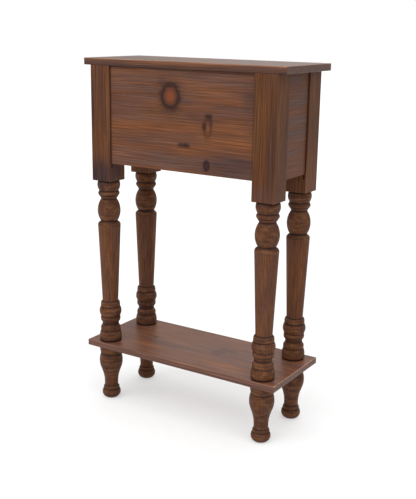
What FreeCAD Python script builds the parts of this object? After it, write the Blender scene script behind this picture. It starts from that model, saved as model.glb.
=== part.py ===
"""Side table with one drawer, turned legs and a lower shelf, as separate wooden pieces and their fasteners.

Millimetres, +Z up, the floor at z = 0. The drawer opens towards -Y and the plain back panel faces +Y.
The origin is at the middle of the whole table's footprint, drawer knob included.
"""
import FreeCAD, Part  # FreeCAD has to come first

import math
import os
import re

import Sketcher

Vector = FreeCAD.Vector
UP = FreeCAD.Rotation(0, 0, 0)
BACKWARDS = FreeCAD.Rotation(Vector(1, 0, 0), -90)  # turns +Z to +Y
FORWARDS = FreeCAD.Rotation(Vector(1, 0, 0), 90)  # turns +Z to -Y

TINY = 1e-6  # for comparing lengths and volumes

# Driving dimensions: alias, value, what it is
DIMENSIONS = [
    ("height", 800.0, "floor to the top of the table"),
    ("top_length", 500.0, "table top along X"),
    ("top_board", 15.0, "thickness of the table top"),
    ("top_front_lip", 6.0, "table top in front of the leg blocks; its back edge is flush with them"),
    ("edge_round", 1.2, "rounding of the table top's and the shelf's edges"),
    ("leg_axis_x", 206.0, "leg axis from the middle, along X"),
    ("leg_axis_y", 71.0, "leg axis from the middle of the legs, along Y"),
    ("block", 52.0, "side of the square block at the top of a leg"),
    ("block_foot", 530.0, "height of the underside of the block"),
    ("block_round", 1.5, "rounding of the block's edges"),
    ("apron_foot", 572.0, "height of the underside of the panels and the lower rail"),
    ("setback", 4.0, "panels, rails and drawer front behind the faces of the blocks"),
    ("panel_board", 10.0, "thickness of the back and side panels"),
    ("groove_deep", 7.0, "depth of the panel grooves in the blocks"),
    ("kerf_run", 12.0, "how far the cutter's narrow run-out goes on below a panel groove"),
    ("kerf_wide", 3.5, "width of that run-out"),
    ("kerf_deep", 3.0, "depth of that run-out"),
    ("rail_high", 20.0, "height of the front rails, runners and kickers"),
    ("rail_deep", 30.0, "front rails along Y"),
    ("tenon_high", 12.0, "height of a rail tenon"),
    ("tenon_wide", 14.0, "width of a rail tenon along Y"),
    ("tenon_long", 12.0, "length of a rail tenon"),
    ("runner_wide", 22.0, "runners and kickers along X"),
    ("shelf_length", 500.0, "shelf along X"),
    ("shelf_width", 204.0, "shelf along Y"),
    ("shelf_top", 146.0, "height of the upper face of the shelf"),
    ("shelf_board", 14.0, "thickness of the shelf"),
    ("stud_radius", 4.0, "steel stud that joins a leg, the shelf and a foot"),
    ("stud_bite", 32.0, "stud inside the leg, and inside the foot"),
    ("hole_play", 0.1, "radial play of a fastener in its hole"),
    ("end_play", 1.0, "room beyond the tip of a stud or screw"),
    ("overcut", 1.0, "how far a cutting shape runs past the face that it cuts"),
    ("drawer_gap", 1.0, "gap round the drawer front, and between the drawer box and its guides"),
    ("ride_gap", 0.5, "drawer sides above the runners"),
    ("drawer_face", 15.0, "thickness of the drawer front"),
    ("drawer_board", 12.0, "thickness of the drawer's sides and back"),
    ("drawer_box_high", 168.0, "height of the drawer's sides"),
    ("drawer_box_long", 156.0, "drawer sides behind the front"),
    ("drawer_lap", 6.0, "drawer sides let into the back of the drawer front"),
    ("ply", 4.0, "drawer bottom"),
    ("ply_rise", 8.0, "drawer bottom above the lower edge of the sides"),
    ("ply_groove", 5.0, "depth of the groove for the drawer bottom"),
    ("stop_gap", 0.3, "gap between the closed drawer and its stops"),
    ("stop_size", 20.0, "width and height of a drawer stop"),
    ("knob_reach", 27.0, "knob in front of the drawer front"),
    ("knob_height", 678.5, "height of the knob's axis"),
    ("knob_bite", 16.0, "knob screw inside the knob"),
    ("machine_screw", 2.0, "radius of the knob screw"),
    ("wood_screw", 2.0, "radius of a wood screw's shank"),
    ("screw_head", 4.0, "radius of a screw head"),
    ("screw_head_high", 2.4, "height of a countersunk screw head"),
    ("screw_bite", 10.0, "wood screw inside the piece it holds"),
    ("screw_inset", 30.0, "end screws in from the ends of a runner or kicker"),
]

# Turned outlines, from the top down: point name, height, radius, how the stretch to it runs, its arc radius.
# A bead swells away from the axis and a cove is hollow.
LEG_TURNING = [
    ("collar", 530.0, 23.4, "line", 0),
    ("top_bead", 507.0, 22.2, "bead", 22.5),
    ("ring", 504.5, 22.2, "line", 0),
    ("ring_low", 496.0, 22.9, "bead", 6.0),
    ("slope", 490.0, 19.0, "line", 0),
    ("ball_top", 485.5, 18.6, "cove", 4.0),
    ("ball_low", 439.0, 21.0, "bead", 47.0),
    ("neck", 433.5, 21.2, "cove", 3.4),
    ("shoulder", 425.0, 25.9, "bead", 8.0),
    ("shaft", 243.5, 18.3, "line", 0),
    ("cuff", 237.0, 22.3, "bead", 6.0),
    ("cuff_low", 230.0, 22.2, "bead", 12.0),
    ("big_bead", 208.0, 22.9, "bead", 20.5),
    ("fine_ring", 206.5, 22.5, "line", 0),
    ("fine_low", 196.0, 22.6, "bead", 20.0),
    ("scotia", 180.5, 22.6, "cove", 10.5),
    ("base_ring", 172.0, 22.7, "bead", 14.0),
    ("base_step", 170.5, 23.2, "line", 0),
    ("base", 146.0, 24.4, "bead", 37.0),
]
FOOT_TURNING = [
    ("pad", 132.0, 27.7, "line", 0),
    ("waist", 112.0, 24.3, "line", 0),
    ("belly", 76.0, 23.8, "bead", 50.0),
    ("taper", 66.0, 20.3, "line", 0),
    ("ankle", 30.0, 16.3, "cove", 91.0),
    ("ankle_ring", 22.8, 18.2, "bead", 5.5),
    ("sole", 0.0, 12.0, "bead", 14.0),
]
KNOB_TURNING = [
    ("crown", 27.0, 6.0, "line", 0),
    ("rim", 15.0, 16.0, "bead", 16.0),
    ("under", 11.0, 15.0, "bead", 3.0),
    ("stem", 4.0, 8.5, "cove", 8.0),
    ("flange", 3.0, 10.0, "line", 0),
    ("seat", 0.0, 10.0, "line", 0),
]

doc = FreeCAD.newDocument("side_table")
sheet = doc.addObject("Spreadsheet::Sheet", "sheet")
pieces = []  # the objects that become nodes


def fill_sheet():
    """Every driving dimension and every turning point goes into the sheet, one aliased cell each."""
    rows = [(alias, value, note) for alias, value, note in DIMENSIONS]
    for prefix, turning in (("leg", LEG_TURNING), ("foot", FOOT_TURNING), ("knob", KNOB_TURNING)):
        for name, z, r, kind, arc in turning:
            rows.append((f"{prefix}_{name}_z", z, "height of a turning point"))
            rows.append((f"{prefix}_{name}_rad", r, "radius there"))
            if kind != "line":
                rows.append((f"{prefix}_{name}_arc", arc, f"radius of the {kind} above it"))
    for number, (alias, value, note) in enumerate(rows, start=1):
        sheet.set(f"A{number}", alias)
        sheet.set(f"B{number}", str(value))
        sheet.set(f"C{number}", note)
        sheet.setAlias(f"B{number}", alias)
    doc.recompute()
    return {alias for alias, _, _ in rows}


ALIASES = fill_sheet()
# Places worked out from the sheet's cells
MIDDLE_Y = "((knob_reach - setback + leg_axis_y + block / 2 - shelf_width / 2) / 2)"
BLOCK_TOP = "(height - top_board)"
INNER_X = "(leg_axis_x - block / 2)"
FRONT_Y = f"({MIDDLE_Y} - leg_axis_y - block / 2)"
BACK_Y = f"({MIDDLE_Y} + leg_axis_y + block / 2)"
FACE_Y = f"({FRONT_Y} + setback)"
PANEL_Y = f"({BACK_Y} - setback - panel_board)"
RUNNER_TOP = "(apron_foot + rail_high)"
KICKER_FOOT = f"({BLOCK_TOP} - rail_high)"
BOX_END = f"({FACE_Y} + drawer_face + drawer_box_long)"
BOX_FOOT = f"({RUNNER_TOP} + ride_gap)"
BOX_X = f"({INNER_X} - drawer_gap)"
RUNNER_Y = (f"({FACE_Y} + rail_deep)", PANEL_Y)


def bind(text):
    """An expression for setExpression: each alias in the text is looked up in the sheet."""
    return re.sub(r"[a-z_]+", lambda m: f"sheet.{m[0]}" if m[0] in ALIASES else m[0], text)


def keep(obj, label):
    """Names a finished piece and puts it on the list of nodes."""
    obj.Label = label
    pieces.append(obj)
    return obj


def group(label, solids):
    """One node of several like solids."""
    made = doc.addObject("Part::Compound", label)
    made.Links = solids
    return keep(made, label)


def place(obj, x, y, z):
    """Puts an object at a point given as three expressions."""
    for axis, text in (("x", x), ("y", y), ("z", z)):
        obj.setExpression(f"Placement.Base.{axis}", bind(text))


def box(name, x, y, z):
    """A board from three (low, high) pairs of expressions."""
    made = doc.addObject("Part::Box", name)
    for side, (low, high) in zip(("Length", "Width", "Height"), (x, y, z)):
        made.setExpression(side, bind(f"({high}) - ({low})"))
    place(made, x[0], y[0], z[0])
    return made


def rod(name, radius, length, at, turn=UP):
    """A cylinder that starts at a point."""
    made = doc.addObject("Part::Cylinder", name)
    made.setExpression("Radius", bind(radius))
    made.setExpression("Height", bind(length))
    made.Placement.Rotation = turn
    place(made, *at)
    return made


def cone(name, low_radius, high_radius, length, at):
    """A countersunk head, from its low radius to its high one."""
    made = doc.addObject("Part::Cone", name)
    made.setExpression("Radius1", bind(low_radius))
    made.setExpression("Radius2", bind(high_radius))
    made.setExpression("Height", bind(length))
    place(made, *at)
    return made


def join(kind, name, base, tools):
    """Part::Cut or Part::MultiFuse of a base and its tools."""
    if kind == "Part::Cut":
        tool = tools[0]
        if len(tools) > 1:
            tool = doc.addObject("Part::MultiFuse", name + "_tools")
            tool.Shapes = tools
        made = doc.addObject("Part::Cut", name)
        made.Base = base
        made.Tool = tool
        return made
    made = doc.addObject(kind, name)
    made.Shapes = [base] + tools
    return made


def rounded(name, base, radius):
    """All the edges of a board, eased."""
    doc.recompute()
    made = doc.addObject("Part::Fillet", name)
    made.Base = base
    made.Edges = [(i + 1, radius, radius) for i in range(len(base.Shape.Edges))]
    return made


def plane(body, role):
    """One of a body's own origin planes."""
    return next(f for f in body.Origin.OriginFeatures if f.Role == role)


def flat_sketch(body, name, height):
    """A sketch parallel to the floor, at a height given as an expression."""
    sketch = body.newObject("Sketcher::SketchObject", name)
    sketch.AttachmentSupport = [(plane(body, "XY_Plane"), "")]
    sketch.MapMode = "FlatFace"
    sketch.setExpression("AttachmentOffset.Base.z", bind(height))
    return sketch


def rectangle(sketch, x, y):
    """A rectangle whose four sides are bound to expressions; x and y are (low, high) pairs."""
    doc.recompute()
    corners = [Vector(0, 0), Vector(1, 0), Vector(1, 1), Vector(0, 1)]
    for i in range(4):
        sketch.addGeometry(Part.LineSegment(corners[i], corners[(i + 1) % 4]))
    for i in range(4):
        sketch.addConstraint(Sketcher.Constraint("Coincident", i, 2, (i + 1) % 4, 1))
    for i, way in enumerate(("Horizontal", "Vertical", "Horizontal", "Vertical")):
        sketch.addConstraint(Sketcher.Constraint(way, i))
    for corner, (px, py) in ((0, (x[0], y[0])), (2, (x[1], y[1]))):
        for way, text in (("DistanceX", px), ("DistanceY", py)):
            number = sketch.addConstraint(Sketcher.Constraint(way, -1, 1, corner, 1, 1.0))
            sketch.setExpression(f"Constraints[{number}]", bind(text))


def arc_between(start, end, radius, kind):
    """The counter-clockwise arc of a bead or a cove between two (radius, height) points, higher one first."""
    along = end - start
    across = Vector(-along.y, along.x, 0).normalize()  # away from the axis for a downward stretch
    drop = (radius ** 2 - (along.Length / 2) ** 2) ** 0.5
    centre = (start + end) / 2 + across * (drop if kind == "cove" else -drop)
    first, last = (start, end) if kind == "cove" else (end, start)
    angles = [math.atan2(p.y - centre.y, p.x - centre.x) for p in (first, last)]
    if angles[1] < angles[0]:
        angles[1] += 2 * math.pi
    return Part.ArcOfCircle(Part.Circle(centre, Vector(0, 0, 1), radius), *angles)


def end_numbers(edge, start):
    """Which end of a sketch edge is at the point it starts from, and which one is the other."""
    return (1, 2) if (edge.StartPoint - start).Length < TINY else (2, 1)


def turned(body, prefix, turning):
    """Revolves a turned outline: each point and arc radius of the sketch is bound to its cells."""
    sketch = body.newObject("Sketcher::SketchObject", f"{body.Name}_outline")
    sketch.AttachmentSupport = [(plane(body, "XZ_Plane"), "")]
    sketch.MapMode = "FlatFace"
    points = [Vector(r, z, 0) for _, z, r, _, _ in turning]
    top, foot = Vector(0, points[0].y, 0), Vector(0, points[-1].y, 0)
    edges = [Part.LineSegment(top, points[0])]
    for i, (_, _, _, kind, radius) in enumerate(turning[1:]):  # edge i + 1 runs from point i to the next one
        if kind == "line":
            edges.append(Part.LineSegment(points[i], points[i + 1]))
        else:
            edges.append(arc_between(points[i], points[i + 1], radius, kind))
    edges += [Part.LineSegment(points[-1], foot), Part.LineSegment(foot, top)]
    for edge in edges:
        sketch.addGeometry(edge)
    ends = [end_numbers(edge, start) for edge, start in zip(edges, [top] + points + [foot])]
    for i in range(len(edges)):
        after = (i + 1) % len(edges)
        sketch.addConstraint(Sketcher.Constraint("Coincident", i, ends[i][1], after, ends[after][0]))
    for i, (name, _, _, kind, _) in enumerate(turning):
        for way, cell in (("DistanceX", "rad"), ("DistanceY", "z")):
            value = points[i].x if cell == "rad" else points[i].y
            if value == 0:
                sketch.addConstraint(Sketcher.Constraint("PointOnObject", i, ends[i][1], -1))
                continue
            number = sketch.addConstraint(Sketcher.Constraint(way, -1, 1, i, ends[i][1], value))
            sketch.setExpression(f"Constraints[{number}]", bind(f"{prefix}_{name}_{cell}"))
        if kind != "line":
            number = sketch.addConstraint(Sketcher.Constraint("Radius", i, edges[i].Radius))
            sketch.setExpression(f"Constraints[{number}]", bind(f"{prefix}_{name}_arc"))
    last = len(edges) - 1
    sketch.addConstraint(Sketcher.Constraint("Horizontal", 0))
    sketch.addConstraint(Sketcher.Constraint("Horizontal", last - 1))
    sketch.addConstraint(Sketcher.Constraint("PointOnObject", last, 1, -2))
    sketch.addConstraint(Sketcher.Constraint("PointOnObject", last, 2, -2))
    doc.recompute()
    spun = body.newObject("PartDesign::Revolution", f"{body.Name}_turning")
    spun.Profile = sketch
    spun.ReferenceAxis = (sketch, ["V_Axis"])
    spun.Angle = 360
    doc.recompute()
    return spun


def pocket(body, name, height, length, x=None, y=None, circle=None):
    """Cuts a rectangular slot or a round hole upwards from a height."""
    sketch = flat_sketch(body, name + "_sketch", height)
    if circle:
        sketch.addGeometry(Part.Circle(Vector(0, 0, 0), Vector(0, 0, 1), 1.0))
        sketch.addConstraint(Sketcher.Constraint("Coincident", 0, 3, -1, 1))
        number = sketch.addConstraint(Sketcher.Constraint("Radius", 0, 1.0))
        sketch.setExpression(f"Constraints[{number}]", bind(circle))
    else:
        rectangle(sketch, x, y)
    doc.recompute()
    before = body.Shape.Volume
    cut = body.newObject("PartDesign::Pocket", name)
    cut.Profile = sketch
    cut.Reversed = True
    cut.setExpression("Length", bind(length))
    doc.recompute()
    if body.Shape.Volume > before - TINY:
        raise RuntimeError(f"{name} cuts nothing")
    return cut


def sorted_pair(side, low, high):
    """A (low, high) pair of expressions, mirrored for side -1."""
    return (low, high) if side > 0 else (f"-({high})", f"-({low})")


def panel_groove(body, name, outwards, thin_axis, inwards, deep_axis):
    """A groove for a panel in a block's inner face, and the cutter's narrow run-out below it."""
    cuts = (("groove", "apron_foot", f"{BLOCK_TOP} - apron_foot + overcut", "panel_board", "groove_deep"),
            ("kerf", "(apron_foot - kerf_run)", "kerf_run + overcut", "kerf_wide", "kerf_deep"))
    for which, start, run, wide, deep in cuts:
        slot = {thin_axis: sorted_pair(outwards, f"block / 2 - setback - {wide}", "block / 2 - setback"),
                deep_axis: sorted_pair(inwards, f"block / 2 - {deep}", "block / 2 + overcut")}
        pocket(body, f"{name}_{which}", start, run, slot["x"], slot["y"])


def leg(name, side_x, side_y):
    """A square block with its panel grooves and rail mortises, and the turned column below it."""
    body = doc.addObject("PartDesign::Body", name)
    square = flat_sketch(body, name + "_square", "block_foot")
    rectangle(square, ("-block / 2", "block / 2"), ("-block / 2", "block / 2"))
    pad = body.newObject("PartDesign::Pad", name + "_block")
    pad.Profile = square
    pad.setExpression("Length", bind(f"{BLOCK_TOP} - block_foot"))
    doc.recompute()
    eased = body.newObject("PartDesign::Fillet", name + "_eased")
    level = max(v.Z for v in pad.Shape.Vertexes)
    edges = [f"Edge{number}" for number, edge in enumerate(pad.Shape.Edges, start=1)
             if min(v.Z for v in edge.Vertexes) < level - TINY]  # all but the four under the table top
    eased.Base = (pad, edges)
    eased.setExpression("Radius", bind("block_round"))
    doc.recompute()
    turned(body, "leg", LEG_TURNING)
    # panel groove in the face that looks along Y, towards the other leg of the same end
    grooved = [("end", (side_x, "x"), (-side_y, "y"))]
    if side_y > 0:
        grooved.append(("back", (side_y, "y"), (-side_x, "x")))
    for which, (outwards, thin_axis), (inwards, deep_axis) in grooved:
        panel_groove(body, f"{name}_{which}", outwards, thin_axis, inwards, deep_axis)
    if side_y < 0:
        tenon = "(setback + (rail_deep - tenon_wide) / 2)"
        slot_x = sorted_pair(-side_x, "block / 2 - tenon_long", "block / 2 + overcut")
        slot_y = sorted_pair(side_y, f"block / 2 - {tenon} - tenon_wide", f"block / 2 - {tenon}")
        for which, foot in (("low", "apron_foot"), ("high", KICKER_FOOT)):
            shoulder = f"{foot} + (rail_high - tenon_high) / 2"
            pocket(body, f"{name}_{which}_mortise", shoulder, "tenon_high", slot_x, slot_y)
    pocket(body, name + "_stud_hole", "shelf_top", "stud_bite", circle="stud_radius + hole_play")
    place(body, f"{side_x} * leg_axis_x", f"{MIDDLE_Y} + {side_y} * leg_axis_y", "0")
    return keep(body, name)


def foot(name, side_x, side_y):
    """A turned foot below the shelf, bored for its stud."""
    body = doc.addObject("PartDesign::Body", name)
    turned(body, "foot", FOOT_TURNING)
    under = "(shelf_top - shelf_board)"
    pocket(body, name + "_stud_hole", f"{under} - stud_bite", "stud_bite + overcut",
           circle="stud_radius + hole_play")
    place(body, f"{side_x} * leg_axis_x", f"{MIDDLE_Y} + {side_y} * leg_axis_y", "0")
    return keep(body, name)


# Left and right as seen from the drawer side
CORNERS = [("back_left", -1, 1), ("back_right", 1, 1), ("front_left", -1, -1), ("front_right", 1, -1)]


def legs_feet_and_studs():
    studs = []
    for corner, side_x, side_y in CORNERS:
        leg("leg_" + corner, side_x, side_y)
        foot("foot_" + corner, side_x, side_y)
        at = (f"{side_x} * leg_axis_x", f"{MIDDLE_Y} + {side_y} * leg_axis_y",
              "shelf_top - shelf_board - stud_bite + end_play")
        studs.append(rod("stud_" + corner, "stud_radius", "shelf_board + 2 * (stud_bite - end_play)", at))
    group("leg_studs", studs)


def shelf():
    """One board, bored for the four studs."""
    width = (f"{MIDDLE_Y} - shelf_width / 2", f"{MIDDLE_Y} + shelf_width / 2")
    board = box("shelf_blank", ("-shelf_length / 2", "shelf_length / 2"), width,
                ("shelf_top - shelf_board", "shelf_top"))
    eased = rounded("shelf_eased", board, sheet.get("edge_round"))
    holes = []
    for corner, side_x, side_y in CORNERS:
        at = (f"{side_x} * leg_axis_x", f"{MIDDLE_Y} + {side_y} * leg_axis_y",
              "shelf_top - shelf_board - overcut")
        holes.append(rod("shelf_hole_" + corner, "stud_radius + hole_play", "shelf_board + 2 * overcut", at))
    keep(join("Part::Cut", "shelf", eased, holes), "shelf")


def table_top():
    """The top board, flush with the leg blocks at the back, bored from below for its screws."""
    board = box("top_blank", ("-top_length / 2", "top_length / 2"), (f"{FRONT_Y} - top_front_lip", BACK_Y),
                (BLOCK_TOP, "height"))
    eased = rounded("top_eased", board, sheet.get("edge_round"))
    holes = []
    for number, (x, y) in enumerate(screw_places(-1) + screw_places(1), start=1):
        at = (x, y, f"{BLOCK_TOP} - overcut")
        holes.append(rod(f"top_hole_{number}", "wood_screw + hole_play", "screw_bite + overcut", at))
    keep(join("Part::Cut", "table_top", eased, holes), "table_top")


def screw_places(side):
    """Where the two top screws stand in the kicker on one side."""
    x = f"{side} * ({INNER_X} - runner_wide / 2)"
    return [(x, f"({RUNNER_Y[0]} + screw_inset)"), (x, f"({RUNNER_Y[1]} - screw_inset)")]


def panels():
    """Back panel between the back legs and an end panel at each side, all let into the grooves."""
    height = ("apron_foot", BLOCK_TOP)
    reach = f"({INNER_X} + groove_deep)"
    keep(box("back_panel", (f"-{reach}", reach), (PANEL_Y, f"{PANEL_Y} + panel_board"), height), "back_panel")
    outer = "(leg_axis_x + block / 2 - setback)"
    half_length = "(leg_axis_y - block / 2 + groove_deep)"
    ends = (f"{MIDDLE_Y} - {half_length}", f"{MIDDLE_Y} + {half_length}")
    for name, side in (("end_panel_left", -1), ("end_panel_right", 1)):
        keep(box(name, sorted_pair(side, f"{outer} - panel_board", outer), ends, height), name)


def front_rails():
    """Upper and lower rail across the front, with a stub tenon at each end."""
    inset = "(rail_deep - tenon_wide) / 2"
    for name, foot_height in (("front_rail_low", "apron_foot"), ("front_rail_high", KICKER_FOOT)):
        rail = box(name + "_bar", (f"-{INNER_X}", INNER_X), (FACE_Y, f"{FACE_Y} + rail_deep"),
                   (foot_height, f"{foot_height} + rail_high"))
        shoulder = f"({foot_height} + (rail_high - tenon_high) / 2)"
        tenon = box(name + "_tenons", (f"-{INNER_X} - tenon_long", f"{INNER_X} + tenon_long"),
                    (f"{FACE_Y} + {inset}", f"{FACE_Y} + {inset} + tenon_wide"),
                    (shoulder, f"{shoulder} + tenon_high"))
        keep(join("Part::MultiFuse", name, rail, [tenon]), name)


def runners_and_kickers():
    """A strip glued to the blocks under each drawer side, and one above it that takes the top screws."""
    for side, word in ((-1, "left"), (1, "right")):
        width = sorted_pair(side, f"{INNER_X} - runner_wide", INNER_X)
        runner = box(f"drawer_runner_{word}", width, RUNNER_Y, ("apron_foot", RUNNER_TOP))
        keep(runner, f"drawer_runner_{word}")
        strip = box(f"kicker_{word}_strip", width, RUNNER_Y, (KICKER_FOOT, BLOCK_TOP))
        holes = []
        for number, (x, y) in enumerate(screw_places(side), start=1):
            bore, sink = f"kicker_{word}_hole_{number}", f"kicker_{word}_sink_{number}"
            holes.append(rod(bore, "wood_screw + hole_play", "rail_high + 2 * overcut",
                             (x, y, f"{KICKER_FOOT} - overcut")))
            holes.append(cone(sink, "screw_head + hole_play", "wood_screw + hole_play", "screw_head_high",
                              (x, y, KICKER_FOOT)))
        keep(join("Part::Cut", f"kicker_{word}", strip, holes), f"kicker_{word}")


def screws():
    """Wood screws up through the kickers into the top: a shank and a countersunk head each."""
    made = []
    for number, (x, y) in enumerate(screw_places(-1) + screw_places(1), start=1):
        shank = rod(f"top_shank_{number}", "wood_screw", "rail_high + screw_bite - end_play",
                    (x, y, KICKER_FOOT))
        head = cone(f"top_head_{number}", "screw_head", "wood_screw", "screw_head_high", (x, y, KICKER_FOOT))
        made.append(join("Part::MultiFuse", f"top_screw_{number}", shank, [head]))
    group("top_screws", made)


def corner_blocks():
    """Glue blocks in the corners between the end panels and the table top."""
    made = []
    inner = "(leg_axis_x + block / 2 - setback - panel_board)"
    for side in (1, -1):
        x = sorted_pair(side, f"{inner} - rail_high", inner)
        y = (f"{MIDDLE_Y} - stop_size", f"{MIDDLE_Y} + stop_size")
        made.append(box(f"glue_block_{len(made) + 1}", x, y, (KICKER_FOOT, BLOCK_TOP)))
    group("glue_blocks", made)


def drawer():
    """Front, two sides let into it, back, and a plywood bottom in grooves."""
    front_x = (f"-{BOX_X}", BOX_X)
    front_z = (f"{RUNNER_TOP} + drawer_gap", f"{KICKER_FOOT} - drawer_gap")
    blank = box("drawer_front_blank", front_x, (FACE_Y, f"{FACE_Y} + drawer_face"), front_z)
    box_top = f"({BOX_FOOT} + drawer_box_high)"
    ply_z = (f"{BOX_FOOT} + ply_rise", f"{BOX_FOOT} + ply_rise + ply")
    side_in = f"({BOX_X} - drawer_board)"
    lap = f"{FACE_Y} + drawer_face - drawer_lap"
    ply_x = (f"-({side_in} + ply_groove)", f"{side_in} + ply_groove")
    ply_y = (f"{FACE_Y} + drawer_face - ply_groove", f"{BOX_END} - drawer_board + ply_groove")
    sides, cuts = [], []
    for word, side in (("left", -1), ("right", 1)):
        sides.append(box(f"drawer_side_{word}_blank", sorted_pair(side, side_in, BOX_X), (lap, BOX_END),
                         (BOX_FOOT, box_top)))
        cuts.append(box(f"lap_{word}", sorted_pair(side, side_in, f"{BOX_X} + overcut"),
                        (lap, f"{FACE_Y} + drawer_face + overcut"), (f"{BOX_FOOT} - overcut", box_top)))
    ply_tool = box("ply_tool", ply_x, ply_y, ply_z)
    at = ("0", f"{FACE_Y} - overcut", "knob_height")
    through = "drawer_face + 2 * overcut"
    cuts.append(rod("knob_screw_hole", "machine_screw + hole_play", through, at, BACKWARDS))
    keep(join("Part::Cut", "drawer_front", blank, cuts + [ply_tool]), "drawer_front")
    for word, side in zip(("left", "right"), sides):
        keep(join("Part::Cut", f"drawer_side_{word}", side, [ply_tool]), f"drawer_side_{word}")
    back = box("drawer_back_blank", (f"-{side_in}", side_in), (f"{BOX_END} - drawer_board", BOX_END),
               (BOX_FOOT, box_top))
    keep(join("Part::Cut", "drawer_back", back, [ply_tool]), "drawer_back")
    keep(box("drawer_bottom", ply_x, ply_y, ply_z), "drawer_bottom")


def drawer_stops():
    """Two small blocks on the back panel that the closed drawer comes up to."""
    made = []
    outer = f"{INNER_X} - runner_wide - stop_size"
    for side in (1, -1):
        x = sorted_pair(side, f"{outer} - stop_size", outer)
        made.append(box(f"stop_{len(made) + 1}", x, (f"{BOX_END} + stop_gap", PANEL_Y),
                        ("knob_height - stop_size / 2", "knob_height + stop_size / 2")))
    group("drawer_stops", made)


def knob():
    """A turned knob and the screw that holds it from inside the drawer front."""
    body = doc.addObject("PartDesign::Body", "knob")
    turned(body, "knob", KNOB_TURNING)
    pocket(body, "knob_hole", "-overcut", "knob_bite + overcut", circle="machine_screw + hole_play")
    body.Placement.Rotation = FORWARDS
    place(body, "0", FACE_Y, "knob_height")
    keep(body, "knob")
    at = ("0", f"{FACE_Y} - knob_bite + end_play", "knob_height")
    shank = rod("knob_shank", "machine_screw", "drawer_face + knob_bite - end_play", at, BACKWARDS)
    at = ("0", f"{FACE_Y} + drawer_face", "knob_height")
    head = rod("knob_head", "screw_head", "screw_head_high", at, BACKWARDS)
    keep(join("Part::MultiFuse", "knob_screw", shank, [head]), "knob_screw")


def check_and_export():
    """Stops on a failed object or a bad shape, then writes one STEP file for each piece."""
    doc.recompute()
    for obj in doc.Objects:
        if any(word in obj.State for word in ("Invalid", "Error")):
            raise RuntimeError(f"{obj.Name} failed: {obj.State}")
    for piece in pieces:
        shape = piece.Shape
        if shape.isNull() or not shape.isValid() or not shape.Solids:
            raise RuntimeError(f"{piece.Label} has no valid shape")
    os.makedirs("parts", exist_ok=True)
    for piece in pieces:
        piece.Shape.exportStep(os.path.join("parts", piece.Label + ".step"))
        size = piece.Shape.optimalBoundingBox()
        spans = (("x", size.XMin, size.XMax), ("y", size.YMin, size.YMax), ("z", size.ZMin, size.ZMax))
        print(f"{piece.Label}: {len(piece.Shape.Solids)} solid(s), {piece.Shape.Volume / 1000:.1f} cm3,",
              ", ".join(f"{axis} {low:.1f} to {high:.1f}" for axis, low, high in spans))


legs_feet_and_studs()
shelf()
table_top()
panels()
front_rails()
runners_and_kickers()
screws()
corner_blocks()
drawer()
drawer_stops()
knob()
check_and_export()
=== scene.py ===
"""The side table in brown-stained knotty pine on a white floor, seen from its plain back."""

import math

import bpy
from mathutils import Matrix, Vector


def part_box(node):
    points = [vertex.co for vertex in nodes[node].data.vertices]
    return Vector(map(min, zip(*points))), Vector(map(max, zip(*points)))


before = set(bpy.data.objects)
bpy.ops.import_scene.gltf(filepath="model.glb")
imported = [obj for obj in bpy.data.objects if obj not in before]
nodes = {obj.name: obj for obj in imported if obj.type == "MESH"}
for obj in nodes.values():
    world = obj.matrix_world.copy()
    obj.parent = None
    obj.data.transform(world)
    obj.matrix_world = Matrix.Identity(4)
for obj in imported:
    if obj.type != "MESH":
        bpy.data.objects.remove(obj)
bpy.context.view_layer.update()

X, Y, Z = 0, 1, 2

# Stain on the wood, linear colours
MAIN = (0.120, 0.047, 0.026)
WARM = (0.190, 0.070, 0.024)
GREY = (0.105, 0.058, 0.047)
DARK = (0.040, 0.018, 0.013)
PALE = (0.260, 0.150, 0.100)
# Patches, worn edges and knots
GOLD = (0.235, 0.105, 0.045)
ORANGE = (0.230, 0.080, 0.026)
PURPLE = (0.060, 0.033, 0.030)
INK = (0.040, 0.026, 0.030)
BLOCK_BROWN = (0.105, 0.040, 0.014)
SHELF_EDGE = (0.085, 0.036, 0.024)
WORN = (0.330, 0.165, 0.095)
KNOT_RED = (0.120, 0.038, 0.020)
# Knot bark, and the near-black of the painted shade in the creases and under the table top
BARK_AND_SHADE = (0.026, 0.013, 0.012)
# What differs between stained and bare pine: the late-wood lines, the thin dark lines and the end grain
STAINED = {"line": DARK, "thin": 0.42, "end": (0.062, 0.036, 0.030), "fleck": (0.190, 0.125, 0.100)}
BARE = {"line": (0.36, 0.20, 0.10), "thin": 0.10, "end": (0.42, 0.28, 0.16), "fleck": (0.55, 0.40, 0.25)}
BARE_STREAKS = ((0.52, 0.33, 0.17), (0.60, 0.40, 0.22))

# Heights between which one kind of leg surface gives way to the next
UNDER_BLOCK = (0.528, 0.531)
TAPER_FOOT = (0.238, 0.246)
TAPER_TOP = (0.420, 0.428)
# Heights of the turned creases and the half width of the dark band in each, part stain pooled there and part
# painted shade
LEG_CREASES = ((0.5285, 0.0035), (0.5058, 0.0030), (0.4950, 0.0020), (0.4880, 0.0035), (0.4365, 0.0042),
               (0.2435, 0.0022), (0.2300, 0.0026), (0.2070, 0.0026), (0.1960, 0.0018), (0.1880, 0.0050),
               (0.1712, 0.0022), (0.1475, 0.0022))
FOOT_CREASES = ((0.1310, 0.0020), (0.1120, 0.0028), (0.0310, 0.0022), (0.0228, 0.0024))
ENDLESS = 5  # the reach of a stain that doesn't fade along an axis


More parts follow.
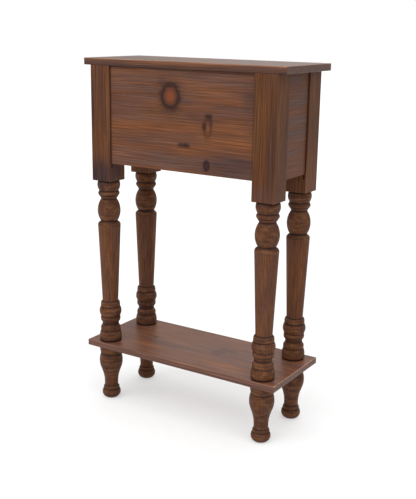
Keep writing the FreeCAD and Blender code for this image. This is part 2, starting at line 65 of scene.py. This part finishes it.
class Shader:
    """Short names for building one material's nodes. Sockets that share a name are called by number."""

    def __init__(self, name):
        self.material = bpy.data.materials.new(name)
        self.material.use_nodes = True
        self.tree = self.material.node_tree
        self.bsdf = self.tree.nodes["Principled BSDF"]

    def node(self, kind, inputs, output=0, **settings):
        """Adds a node and returns one of its outputs."""
        made = self.tree.nodes.new(kind)
        for key, value in settings.items():
            setattr(made, key, value)
        for key, value in inputs.items():
            self.feed(made.inputs[key], value)
        return made.outputs[output]

    def feed(self, socket, value):
        """Links a socket to another one, or sets its value."""
        if isinstance(value, bpy.types.NodeSocket):
            self.tree.links.new(value, socket)
        elif value is not None:
            size = len(socket.default_value) if hasattr(socket.default_value, "__len__") else 0
            socket.default_value = (*value, 1.0) if size == 4 and len(value) == 3 else value

    def math(self, operation, a, b=None, c=None, clamp=False):
        return self.node("ShaderNodeMath", {0: a, 1: b, 2: c}, operation=operation, use_clamp=clamp)

    def vector(self, operation, a, b=None, output="Vector"):
        return self.node("ShaderNodeVectorMath", {0: a, 1: b}, output, operation=operation)

    def length(self, vector):
        return self.vector("LENGTH", vector, output="Value")

    def mix(self, amount, a, b, blend="MIX"):
        return self.node("ShaderNodeMix", {0: amount, 6: a, 7: b}, 2, data_type="RGBA", blend_type=blend)

    def tint(self, colour, brightness):
        """A colour times a brightness."""
        grey = self.node("ShaderNodeCombineXYZ", {0: brightness, 1: brightness, 2: brightness})
        return self.mix(1.0, colour, grey, "MULTIPLY")

    def span(self, value, low, high, to_low=0.0, to_high=1.0):
        """A smooth step from one value to another."""
        inputs = {0: value, 1: low, 2: high, 3: to_low, 4: to_high}
        return self.node("ShaderNodeMapRange", inputs, interpolation_type="SMOOTHSTEP")

    def noise(self, vector, detail=2.0, rough=0.5):
        inputs = {"Vector": vector, "Scale": 1.0, "Detail": detail, "Roughness": rough}
        return self.node("ShaderNodeTexNoise", inputs)


class Pine(Shader):
    """Solid pine with its grain along one axis. The seed gives each piece a figure of its own."""

    def __init__(self, name, grain, seed):
        super().__init__(name)
        self.grain = grain
        self.place = self.node("ShaderNodeTexCoord", {}, "Object")
        self.moved = self.vector("ADD", self.place, (seed * 0.37, seed * 0.73, seed * 0.19))
        self.streak = self.span(self.cells(5, 170, 3.0, 0.6), 0.34, 0.68)
        self.fine = self.cells(1.3, 90, 2.0, 0.6)

    def cells(self, across_mm, along_mm, detail=2.0, rough=0.5):
        """Noise that is narrow across the grain and long along it."""
        per_metre = tuple(1000 / (along_mm if axis == self.grain else across_mm) for axis in (X, Y, Z))
        return self.noise(self.vector("MULTIPLY", self.moved, per_metre), detail, rough)

    def spots(self, per_metre, detail):
        """Noise with its own number of cells per metre along each axis."""
        return self.noise(self.vector("MULTIPLY", self.moved, per_metre), detail)

    def late_wood(self, heart, knots, ring_mm, wander_mm):
        """Rings round the heart of the log, which bend round the knots and wander along the board."""
        flat = tuple(0.03 if axis == self.grain else 1.0 for axis in (X, Y, Z))
        from_heart = self.vector("MULTIPLY", self.vector("SUBTRACT", self.place, heart), flat)
        for knot in knots:
            from_knot = self.vector("SUBTRACT", self.place, knot["at"])
            near = self.length(self.vector("MULTIPLY", from_knot, knot["squash"]))
            pull = self.span(near, knot["radius"] * 0.5, knot["radius"] * 2.4, knot["bend"], 0.0)
            bent = self.node("ShaderNodeVectorMath", {0: from_knot, 3: pull}, operation="SCALE")
            from_heart = self.vector("SUBTRACT", from_heart, self.vector("MULTIPLY", bent, flat))
        distance = self.length(from_heart)
        distance = self.math("MULTIPLY_ADD", self.cells(28, 190, 1.5), wander_mm / 1000, distance)
        distance = self.math("MULTIPLY_ADD", self.cells(7, 90, 1.0), 0.0016, distance)
        turns = self.math("MULTIPLY", distance, 2000 * math.pi / ring_mm)
        wave = self.math("MULTIPLY_ADD", self.math("SINE", turns), 0.5, 0.5)
        return self.math("POWER", wave, 3.0)

    def stain_and_shade_colour(self, warmth, greyness, stains_and_shade):
        """Warm and cool streaks of stain, and the patches that this piece has of its own: stains, and on the
        top and back panel a band of painted shade.
        """
        patch = self.span(self.cells(46, 150, 2.5, 0.55), 0.36, 0.66)
        warm = self.math("MULTIPLY_ADD", self.streak, 0.6, 0.4)
        warm = self.math("MULTIPLY", warm, warmth * 1.5, clamp=True)
        warm = self.math("MULTIPLY", warm, self.math("MULTIPLY_ADD", patch, 0.85, 0.15), clamp=True)
        colour = self.mix(warm, MAIN, WARM)
        cool = self.span(self.cells(17, 240, 2.0, 0.5), 0.42, 0.64, 0.0, min(1.0, greyness * 1.6))
        colour = self.mix(cool, colour, GREY)
        stain_and_shade_share = self.math("MULTIPLY_ADD", self.streak, 0.55, 0.5)
        # The patches include bands of painted shade on the top and the back panel
        for stain in stains_and_shade:
            off = self.vector("DIVIDE", self.vector("SUBTRACT", self.place, stain["at"]), stain["reach"])
            inside = self.span(self.length(off), 0.15, 1.0, stain["amount"], 0.0)
            colour = self.mix(self.math("MULTIPLY", inside, stain_and_shade_share, clamp=True), colour, stain["colour"])
        return colour

    def grain_lines(self, colour, late, kind, streaks, plain):
        """Late-wood lines, thin dark lines, gleams and fibres. `plain` is less than 1 where they are soft."""
        depth = self.span(self.cells(14, 130, 1.0), 0.3, 0.7, 0.15, 1.0)
        depth = self.math("MULTIPLY", depth, 0.30 * streaks)
        colour = self.mix(self.math("MULTIPLY", late, depth), colour, kind["line"])
        thin = self.math("MULTIPLY", self.span(self.cells(2.0, 170, 2.5, 0.6), 0.47, 0.62), plain)
        colour = self.mix(self.math("MULTIPLY", thin, kind["thin"] * streaks), colour, DARK)
        gleam = self.span(self.cells(2.2, 150, 2.5, 0.6), 0.50, 0.68, 0.0, 0.45 * streaks)
        gleam = self.math("MULTIPLY_ADD", gleam, plain, 1.0)
        fibre = self.span(self.fine, 0.30, 0.70, 0.82, 1.24)
        return self.tint(colour, self.math("MULTIPLY", fibre, gleam))

    def turned_marks(self, colour, height, creases):
        """Tool lines and golden patches, faint on the smooth taper, and dark bands in the creases, part stain
        pooled there and part painted shade.
        """
        taper = self.math("MULTIPLY", self.span(height, *TAPER_FOOT), self.span(height, *TAPER_TOP, 1.0, 0.0))
        marked = self.math("MULTIPLY_ADD", taper, -0.88, 1.0)
        marked = self.math("MULTIPLY", self.span(height, *UNDER_BLOCK, 1.0, 0.0), marked)
        for line_mm, depth in ((2.4, 0.40), (6.0, 0.28)):
            line = self.span(self.spots((6, 6, 1000 / line_mm), 1.5), 0.36, 0.62, depth, 0.0)
            colour = self.mix(self.math("MULTIPLY", line, marked), colour, DARK)
        glow = self.span(self.spots((60, 60, 150), 3.0), 0.42, 0.70, 0.0, 0.50)
        colour = self.mix(self.math("MULTIPLY", glow, marked), colour, GOLD)
        # Dark bands at the creases: part stain pooled there, part painted shade
        for at, half_width in creases:
            off = self.math("ABSOLUTE", self.math("SUBTRACT", height, at))
            colour = self.mix(self.span(off, 0.0004, half_width, 0.80, 0.0), colour, BARK_AND_SHADE)
        return colour

    def add_knot(self, colour, knot):
        """A dark halo, a red ring, a warm heart, a ragged bark line and the pith."""
        from_knot = self.vector("MULTIPLY", self.vector("SUBTRACT", self.place, knot["at"]), knot["squash"])
        ragged = self.math("MULTIPLY_ADD", self.spots((110, 110, 110), 3.0), 0.40, 0.80)
        near = self.math("MULTIPLY", self.length(from_knot), ragged)
        near = self.math("DIVIDE", near, knot["radius"])  # about 1 at the bark
        halo = self.span(near, 0.9, 2.1, knot["halo"], 0.0)
        halo = self.math("MULTIPLY", halo, self.math("MULTIPLY_ADD", self.streak, -0.6, 1.0))
        colour = self.mix(halo, colour, DARK)
        rings = self.math("MULTIPLY_ADD", self.math("SINE", self.math("MULTIPLY", near, 26.0)), 0.14, 0.14)
        inside = self.span(near, 0.62, 0.98, knot["core"], 0.0)
        colour = self.mix(inside, colour, self.mix(rings, knot["rim"], DARK))
        heart = self.span(near, 0.16, 0.66, 0.92 * knot["core"], 0.0)
        colour = self.mix(heart, colour, self.mix(rings, knot["colour"], DARK))
        bark = self.math("MULTIPLY", self.span(near, 0.60, 0.90), self.span(near, 0.94, 1.42, 1.0, 0.0))
        colour = self.mix(self.math("MULTIPLY", bark, knot["bark"]), colour, BARK_AND_SHADE)
        return self.mix(self.span(near, 0.06, 0.17, 0.6, 0.0), colour, knot["rim"])

    def end_grain(self, surface):
        """How far a face is cut across the grain."""
        axis = tuple(1.0 if i == self.grain else 0.0 for i in (X, Y, Z))
        facing = self.math("ABSOLUTE", self.vector("DOT_PRODUCT", surface, axis, output="Value"))
        return self.span(facing, 0.72, 0.95, 0.0, 0.72)

    def worn_edges(self, colour, surface, wear):
        """Stain rubbed off the edges, here more and there less."""
        soft = self.node("ShaderNodeBevel", {"Radius": 0.0022}, samples=6)
        edge = self.math("SUBTRACT", 1.0, self.vector("DOT_PRODUCT", soft, surface, output="Value"))
        worn = self.span(self.cells(12, 50, 3.0), 0.38, 0.62, 0.1, 1.0)
        worn = self.math("MULTIPLY", self.span(edge, 0.015, 0.16), worn)
        return self.mix(self.math("MULTIPLY", worn, wear), colour, PALE)

    def painted_corner_shade(self, colour, light):
        """Painted shade where pieces meet and in crevices, from an ambient occlusion node, and the lightness
        of the whole piece.
        """
        corner = self.node("ShaderNodeAmbientOcclusion", {"Distance": 0.006}, "AO", samples=8)
        shadow = self.span(corner, 0.35, 0.95, 0.30, 1.0)
        return self.tint(colour, self.math("MULTIPLY", shadow, light))


def pine(name, grain, heart, seed, warmth=0.5, greyness=0.35, light=1.0, streaks=1.0, wear=0.35, ring_mm=5.0,
         wander_mm=5.0, roughness=0.42, gloss=0.08, knots=(), stains_and_shade=(), creases=(), bare=False):
    """The material of one piece of pine. Its growth rings run round a log axis through `heart`."""
    s = Pine(name, grain, seed)
    kind = BARE if bare else STAINED
    late = s.late_wood(heart, knots, ring_mm, wander_mm)
    colour = s.mix(s.streak, *BARE_STREAKS) if bare else s.stain_and_shade_colour(warmth, greyness, stains_and_shade)
    if creases:
        height = s.node("ShaderNodeSeparateXYZ", {0: s.place}, "Z")
        plain = s.span(height, *UNDER_BLOCK, 0.45, 1.0)
        colour = s.grain_lines(colour, late, kind, streaks, plain)
        colour = s.turned_marks(colour, height, creases)
    else:
        colour = s.grain_lines(colour, late, kind, streaks, plain=1.0)
    for knot in knots:
        colour = s.add_knot(colour, knot)

    surface = s.node("ShaderNodeNewGeometry", {}, "Normal")
    across = s.end_grain(surface)
    fleck = s.span(s.spots((420, 420, 420), 2.0), 0.46, 0.66, 0.0, 0.55)
    colour = s.mix(across, colour, s.mix(fleck, kind["end"], kind["fleck"]))
    colour = s.worn_edges(colour, surface, 0.0 if bare else wear)
    # Base colour, with painted shade in the corners where pieces meet
    s.feed(s.bsdf.inputs["Base Color"], s.painted_corner_shade(colour, light))

    satin = s.math("MULTIPLY_ADD", s.fine, 0.16, roughness - 0.08)
    s.feed(s.bsdf.inputs["Roughness"], s.math("MULTIPLY_ADD", across, 0.25, satin))
    s.bsdf.inputs["Specular IOR Level"].default_value = gloss
    relief = s.math("MULTIPLY_ADD", late, -0.5, s.fine)
    bump = s.node("ShaderNodeBump", {"Height": relief, "Distance": 0.00025, "Strength": 0.45})
    s.feed(s.bsdf.inputs["Normal"], bump)
    return s.material


def steel(name):
    """Zinc-plated steel with faint turned marks."""
    s = Shader(name)
    place = s.node("ShaderNodeTexCoord", {}, "Object")
    marks = s.noise(s.vector("MULTIPLY", place, (300, 300, 2500)), 2.0)
    s.feed(s.bsdf.inputs["Base Color"], s.mix(marks, (0.42, 0.42, 0.43), (0.60, 0.60, 0.60)))
    s.bsdf.inputs["Metallic"].default_value = 1.0
    s.feed(s.bsdf.inputs["Roughness"], s.math("MULTIPLY_ADD", marks, 0.2, 0.25))
    return s.material


def dress(node, material):
    """Gives a CAD node its one material."""
    mesh = nodes[node].data
    mesh.materials.clear()
    mesh.materials.append(material)
    for face in mesh.polygons:
        face.material_index = 0


def middle(node):
    """The middle of a CAD node's box."""
    low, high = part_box(node)
    return (Vector(low) + Vector(high)) / 2


def new_knot(at, squash, radius, colour, rim=KNOT_RED, halo=0.55, bend=0.6, core=1.0, bark=0.85):
    """A knot. `squash` shrinks distances along each axis, and 0 makes it run right through that way."""
    return {"at": at, "squash": squash, "radius": radius, "colour": colour, "rim": rim, "halo": halo,
            "bend": bend, "core": core, "bark": bark}


def new_stain_and_shade(colour, amount, at, reach):
    """A patch that fades out at `reach` from its middle along each axis: a stain, and in two places a band of
    painted shade.
    """
    return {"colour": colour, "amount": amount, "at": Vector(at), "reach": reach}


# Back panel: knots, stains and a painted shadow band are placed from its middle, along X and up
panel = middle("back_panel")


def panel_knot(x, z, squash_x, squash_z, radius, colour, **looks):
    return new_knot(panel + Vector((x, 0, z)), (squash_x, 0.0, squash_z), radius, colour, **looks)


def panel_stain_and_shade(colour, amount, x, z, reach_x, reach_z):
    return new_stain_and_shade(colour, amount, panel + Vector((x, 0, z)), (reach_x, 1, reach_z))


DARK_KNOT = {"colour": BARK_AND_SHADE, "rim": BARK_AND_SHADE}
back_knots = [
    panel_knot(0.0215, 0.0500, 1.0, 0.86, 0.0215, (0.215, 0.060, 0.024), halo=0.60, bend=0.6, bark=0.80),
    panel_knot(-0.0715, -0.0100, 1.0, 0.46, 0.0085, (0.25, 0.085, 0.03), halo=0.35, bend=0.5, core=0.55,
               bark=0.30),
    panel_knot(-0.0632, -0.0070, 1.0, 0.55, 0.0042, **DARK_KNOT, halo=0.5, bend=0.3, core=0.55, bark=0.55),
    panel_knot(-0.0735, 0.0140, 0.55, 0.9, 0.0038, **DARK_KNOT, halo=0.5, bend=0.3, core=0.6, bark=0.55),
    panel_knot(-0.0800, 0.0042, 1.3, 0.40, 0.0040, **DARK_KNOT, halo=0.4, bend=0.3, core=0.25, bark=0.25),
    panel_knot(-0.0699, -0.0870, 1.0, 0.66, 0.0066, (0.045, 0.026, 0.026), rim=BARK_AND_SHADE, halo=0.4, bend=0.5,
               bark=0.9),
    panel_knot(-0.0079, -0.0489, 0.40, 1.0, 0.0032, **DARK_KNOT, halo=0.5, bend=0.4, core=0.6, bark=0.6),
    panel_knot(-0.0205, -0.0486, 0.60, 1.0, 0.0036, **DARK_KNOT, halo=0.5, bend=0.4, core=0.7, bark=0.7),
    panel_knot(0.1428, 0.0480, 1.0, 1.0, 0.0016, PALE, rim=PALE, halo=0.3, bend=0.1, bark=0.2),
]
back_stains_and_shade = [
    panel_stain_and_shade(ORANGE, 0.40, -0.052, 0.071, 0.085, 0.020),
    panel_stain_and_shade(ORANGE, 0.40, -0.105, 0.055, 0.090, 0.022),
    panel_stain_and_shade(ORANGE, 0.45, 0.030, 0.078, 0.022, 0.010),
    panel_stain_and_shade(ORANGE, 0.36, 0.060, -0.015, 0.120, 0.022),
    panel_stain_and_shade(ORANGE, 0.30, -0.041, -0.009, 0.050, 0.012),
    panel_stain_and_shade(ORANGE, 0.50, -0.156, -0.040, 0.050, 0.030),
    panel_stain_and_shade(ORANGE, 0.25, 0.120, -0.070, 0.080, 0.020),
    panel_stain_and_shade(ORANGE, 0.25, 0.060, 0.096, 0.140, 0.010),
    # Painted shadow along the top of the back panel, under the overhanging table top
    panel_stain_and_shade(BARK_AND_SHADE, 0.60, 0.0, 0.108, ENDLESS, 0.012),
    panel_stain_and_shade(PURPLE, 0.45, -0.105, 0.020, 0.080, 0.018),
    panel_stain_and_shade(PURPLE, 0.95, -0.135, -0.080, 0.120, 0.045),
    panel_stain_and_shade(PURPLE, 0.45, -0.041, 0.010, 0.045, 0.014),
    panel_stain_and_shade(PURPLE, 0.60, -0.172, 0.050, 0.030, 0.060),
    panel_stain_and_shade(PURPLE, 0.55, 0.042, 0.080, 0.020, 0.016),
    panel_stain_and_shade(PURPLE, 0.50, -0.020, 0.040, 0.024, 0.010),
    panel_stain_and_shade(GREY, 0.60, 0.130, 0.020, 0.080, 0.040),
    panel_stain_and_shade(GREY, 0.50, 0.020, -0.085, 0.060, 0.020),
]

# Table top: painted shade under its back edge, worn along its upper edges, dark streaks on its upper face
top_stains_and_shade = [
    # Painted shade on the lower part of the back edge, where the top meets the back panel
    new_stain_and_shade(BARK_AND_SHADE, 0.8, (0, 0.106, 0.7860), (ENDLESS, 0.004, 0.010)),
    new_stain_and_shade(WORN, 1.0, (0, 0.1056, 0.7996), (ENDLESS, 0.0026, 0.0026)),
    new_stain_and_shade(WORN, 1.0, (-0.2496, 0.006, 0.7996), (0.0026, ENDLESS, 0.0026)),
    new_stain_and_shade(PURPLE, 0.8, (0.10, 0.03, 0.80), (0.20, 0.012, 1)),
    new_stain_and_shade(PURPLE, 0.8, (-0.13, 0.07, 0.80), (0.16, 0.010, 1)),
]

# Shelf: one small dark knot and a smudgy one, worn upper edges, a darker back edge, dark and warm streaks
shelf_knots = [
    new_knot(Vector((0.1261, 0.0098, 0.146)), (0.8, 1.0, 0.0), 0.0042, **DARK_KNOT, halo=0.4, bend=0.6,
             core=0.6, bark=0.6),
    new_knot(Vector((-0.0527, 0.0045, 0.146)), (1.0, 0.55, 0.0), 0.0085, (0.20, 0.10, 0.07), rim=PURPLE,
             halo=0.45, bend=0.5, core=0.30, bark=0.05),
    new_knot(Vector((-0.0750, -0.0120, 0.146)), (0.55, 1.0, 0.0), 0.0050, PURPLE, rim=PURPLE, halo=0.40,
             bend=0.4, core=0.35, bark=0.05),
]
shelf_stains = [
    new_stain_and_shade(WORN, 1.0, (0, 0.1106, 0.1456), (ENDLESS, 0.0026, 0.0026)),
    new_stain_and_shade(WORN, 1.0, (-0.2496, 0.009, 0.1456), (0.0026, ENDLESS, 0.0026)),
    new_stain_and_shade(SHELF_EDGE, 1.0, (0, 0.1112, 0.139), (ENDLESS, 0.0024, ENDLESS)),
    new_stain_and_shade(PURPLE, 0.8, (0.060, 0.030, 0.146), (0.130, 0.012, 1)),
    new_stain_and_shade(PURPLE, 0.7, (-0.110, 0.020, 0.146), (0.110, 0.010, 1)),
    new_stain_and_shade(WARM, 0.6, (-0.030, 0.070, 0.146), (0.150, 0.016, 1)),
    new_stain_and_shade(WARM, 0.6, (0.105, 0.060, 0.146), (0.080, 0.014, 1)),
]

# Leg blocks: upright streaks and dark feet on the two back legs
leg_stains = {
    "back_right": [
        new_stain_and_shade(INK, 1.2, (0.209, 0.106, 0.545), (0.045, 0.08, 0.060)),
        new_stain_and_shade(GOLD, 0.45, (0.180, 0.106, 0.700), (0.016, 0.08, 0.120)),
        new_stain_and_shade(PURPLE, 0.9, (0.228, 0.106, 0.700), (0.010, 0.08, 0.110)),
        new_stain_and_shade(INK, 0.7, (0.190, 0.075, 0.560), (0.030, 0.05, 0.040)),
    ],
    "back_left": [
        new_stain_and_shade(GOLD, 0.30, (-0.196, 0.106, 0.690), (0.020, 0.08, 0.150)),
        new_stain_and_shade(PURPLE, 1.0, (-0.222, 0.106, 0.640), (0.010, 0.08, 0.140)),
        new_stain_and_shade(GOLD, 0.5, (-0.232, 0.095, 0.700), (0.05, 0.008, 0.090)),
        new_stain_and_shade(PURPLE, 0.8, (-0.232, 0.066, 0.660), (0.05, 0.009, 0.140)),
        new_stain_and_shade(GREY, 0.50, (-0.206, 0.106, 0.545), (0.040, 0.08, 0.030)),
    ],
}


def from_middle(node, x, y, z):
    """Where a log's heart is, from the middle of the piece cut from it."""
    return tuple(middle(node) + Vector((x, y, z)))


# The materials of the boards
wood = {
    "table_top": pine("stained_pine_top", X, (0, 0.03, 0.70), 3, warmth=0.60, greyness=0.15, light=0.95,
                      wear=0.75, roughness=0.36, gloss=0.24, stains_and_shade=top_stains_and_shade),
    "shelf": pine("stained_pine_shelf", X, (0, 0.02, 0.07), 11, warmth=0.50, greyness=0.45, light=1.25,
                  streaks=1.2, wear=0.8, roughness=0.40, gloss=0.25, knots=shelf_knots, stains_and_shade=shelf_stains),
    "back_panel": pine("stained_pine_back", X, (0, 0.05, 0.42), 7, warmth=0.48, greyness=0.42, light=1.03,
                       streaks=0.85, ring_mm=6.0, knots=back_knots, stains_and_shade=back_stains_and_shade),
    "drawer_front": pine("stained_pine_drawer_front", X, (0, -0.02, 0.70), 61, warmth=0.6, greyness=0.4),
    "knob": pine("stained_pine_knob", X, from_middle("knob", 0, 0.02, 0.03), 71, warmth=0.7, greyness=0.1,
                 light=0.72, ring_mm=3.0, roughness=0.34, gloss=0.35),
}
for side, seed in (("left", 21), ("right", 24)):
    name = f"end_panel_{side}"
    wood[name] = pine(f"stained_pine_end_{side}", Y, from_middle(name, 0.03, 0, -0.30), seed, warmth=0.2,
                      greyness=0.8, light=0.83, streaks=0.55, ring_mm=6.5, wander_mm=3.0)
for number, name in enumerate(("front_rail_low", "front_rail_high")):
    wood[name] = pine(f"stained_pine_{name}", X, from_middle(name, 0, 0.05, 0.01), 51 + number)

# Legs and feet: each leg and its foot come from one log, with the heart to either side in turn
for number, corner in enumerate(("front_left", "front_right", "back_left", "back_right")):
    leg, foot = "leg_" + corner, "foot_" + corner
    centre = middle(leg)
    heart = centre + Vector((0.045 * (-1) ** number, 0.030, 0))
    brown = new_stain_and_shade(BLOCK_BROWN, 0.9 if corner.endswith("left") else 0.4, (centre.x, centre.y, 0.660),
                      (0.2, 0.2, 0.180))
    wood[leg] = pine(f"stained_pine_{leg}", Z, tuple(heart), 31 + number, warmth=0.75, greyness=0.24,
                     light=0.82, streaks=1.15, wear=0.15, gloss=0.05, creases=LEG_CREASES,
                     stains_and_shade=[brown] + leg_stains.get(corner, []))
    heart += Vector((0.01, 0.02, 0))
    wood[foot] = pine(f"stained_pine_{foot}", Z, tuple(heart), 41 + number, warmth=0.7, greyness=0.3,
                      light=0.73, gloss=0.06, creases=FOOT_CREASES)

# Bare pine inside, and the fasteners
GRAIN_INSIDE = {
    "drawer_runner_left": Y, "drawer_runner_right": Y, "kicker_left": Y, "kicker_right": Y, "glue_blocks": X,
    "drawer_stops": X, "drawer_side_left": Y, "drawer_side_right": Y, "drawer_back": X, "drawer_bottom": X,
}
for number, (name, grain) in enumerate(GRAIN_INSIDE.items()):
    wood[name] = pine(f"bare_pine_{name}", grain, from_middle(name, 0.04, 0.04, 0.05), 81 + number,
                      roughness=0.55, bare=True)
for name, material in wood.items():
    dress(name, material)
plated = steel("zinc_plated_steel")
for name in ("leg_studs", "top_screws", "knob_screw"):
    dress(name, plated)


def white_floor(half_size):
    """A plain white floor that glows a little, so that shadows on it stay pale."""
    mesh = bpy.data.meshes.new("floor")
    corners = [(x * half_size, y * half_size, 0) for x, y in ((-1, -1), (1, -1), (1, 1), (-1, 1))]
    mesh.from_pydata(corners, [], [(0, 1, 2, 3)])
    made = bpy.data.objects.new("floor", mesh)
    bpy.context.scene.collection.objects.link(made)
    s = Shader("floor_white")
    speck = s.noise(s.vector("MULTIPLY", s.node("ShaderNodeTexCoord", {}, "Object"), (40, 40, 40)), 3.0)
    s.feed(s.bsdf.inputs["Base Color"], s.mix(speck, (0.50, 0.50, 0.50), (0.53, 0.53, 0.53)))
    s.bsdf.inputs["Emission Color"].default_value = (1, 1, 1, 1)
    s.bsdf.inputs["Emission Strength"].default_value = 0.46
    s.bsdf.inputs["Roughness"].default_value = 0.9
    s.bsdf.inputs["Specular IOR Level"].default_value = 0.1
    mesh.materials.append(s.material)
    return made


floor = white_floor(14.0)


def soft_sun(name, azimuth, elevation, strength, spread):
    """Even light from a wide disc of sky. Azimuth 0 is in front of the drawer, 90 at the left, 180 behind."""
    light = bpy.data.lights.new(name, "SUN")
    light.energy = strength
    light.angle = math.radians(spread)
    lamp = bpy.data.objects.new(name, light)
    turn, rise = math.radians(azimuth), math.radians(elevation)
    from_sky = Vector((-math.sin(turn) * math.cos(rise), -math.cos(turn) * math.cos(rise), math.sin(rise)))
    lamp.rotation_mode = "QUATERNION"
    lamp.rotation_quaternion = (-from_sky).to_track_quat("-Z", "Y")
    bpy.context.scene.collection.objects.link(lamp)


soft_sun("overhead", 170, 78, 1.75, 90)
soft_sun("behind", 196, 35, 1.0, 60)
soft_sun("left_end", 105, 35, 0.7, 60)
soft_sun("drawer_side", 350, 35, 0.6, 70)

# The sky is white to look at and dimmer as a light
world = bpy.data.worlds.new("studio")
bpy.context.scene.world = world
world.use_nodes = True
sky = world.node_tree.nodes["Background"]
sky.inputs[0].default_value = (1, 1, 1, 1)
ray = world.node_tree.nodes.new("ShaderNodeLightPath")
strength = world.node_tree.nodes.new("ShaderNodeMapRange")
strength.inputs["To Min"].default_value = 0.35
strength.inputs["To Max"].default_value = 1.0
world.node_tree.links.new(ray.outputs["Is Camera Ray"], strength.inputs[0])
world.node_tree.links.new(strength.outputs[0], sky.inputs[1])

# Camera: 32 degrees round from straight behind, looking 15 degrees down, tilted by a degree
CAMERA_AT = Vector((-1.0187, 1.5928, 0.8782))
LOOKS_AT = Vector((-0.0185, 0.0090, 0.3854))
ROLL = math.radians(0.90)
forward = (LOOKS_AT - CAMERA_AT).normalized()
level = forward.cross(Vector((0, 0, 1))).normalized()
upright = level.cross(forward)
right = level * math.cos(ROLL) + upright * math.sin(ROLL)
up = upright * math.cos(ROLL) - level * math.sin(ROLL)
lens = bpy.data.cameras.new("camera")
lens.lens = 62.25
lens.sensor_width = 36.0
camera = bpy.data.objects.new("camera", lens)
facing = Matrix((right, up, -forward)).transposed()
camera.matrix_world = Matrix.Translation(CAMERA_AT) @ facing.to_4x4()
bpy.context.scene.collection.objects.link(camera)
bpy.context.scene.camera = camera
bpy.context.scene.view_settings.view_transform = "Standard"
